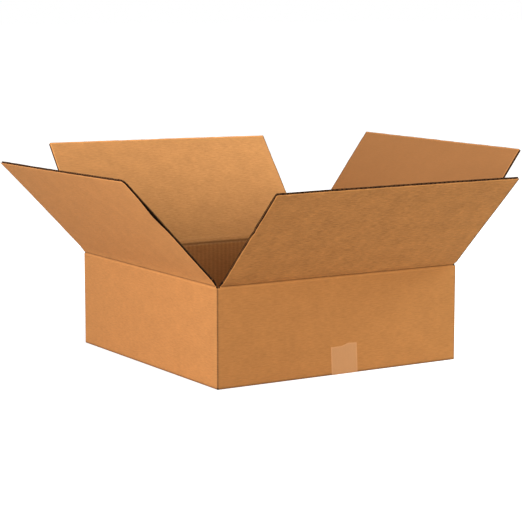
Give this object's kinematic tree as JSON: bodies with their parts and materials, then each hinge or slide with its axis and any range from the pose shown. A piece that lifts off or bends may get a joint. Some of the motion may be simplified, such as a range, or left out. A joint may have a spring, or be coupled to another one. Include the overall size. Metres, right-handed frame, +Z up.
{
  "type": "open cardboard box",
  "caption": "Low square corrugated carton, set up and open, with hinged top flaps and a taped bottom.",
  "frame": {"origin": "on the surface that the box stands on, under the middle of its walls", "axes": "+Z up, +X to the right along the front wall, +Y from the front wall to the back wall"},
  "size_m": [0.7631, 0.7763, 0.3518],
  "materials": {
    "board": "matte",
    "tape": "satin"
  },
  "bodies": {
    "box": {"box_body": "board", "bottom_tape": "tape"},
    "front_flap": {"front_flap": "board"},
    "back_flap": {"back_flap": "board"},
    "left_flap": {"left_flap": "board"},
    "right_flap": {"right_flap": "board"}
  },
  "joints": [
    {"name": "front_flap_crease", "type": "hinge", "parent": "box", "child": "front_flap", "pos_m": [0, -0.2325, 0.16], "axis": [-1, 0, 0], "range_deg": [-84.2, 135.8]},
    {"name": "back_flap_crease", "type": "hinge", "parent": "box", "child": "back_flap", "pos_m": [0, 0.2325, 0.16], "axis": [1, 0, 0], "range_deg": [-91.2, 128.8]},
    {"name": "left_flap_crease", "type": "hinge", "parent": "box", "child": "left_flap", "pos_m": [-0.2325, 0, 0.1643], "axis": [0, 1, 0], "range_deg": [-86.8, 133.2]},
    {"name": "right_flap_crease", "type": "hinge", "parent": "box", "child": "right_flap", "pos_m": [0.2325, 0, 0.1643], "axis": [0, -1, 0], "range_deg": [-93, 127]}
  ]
}
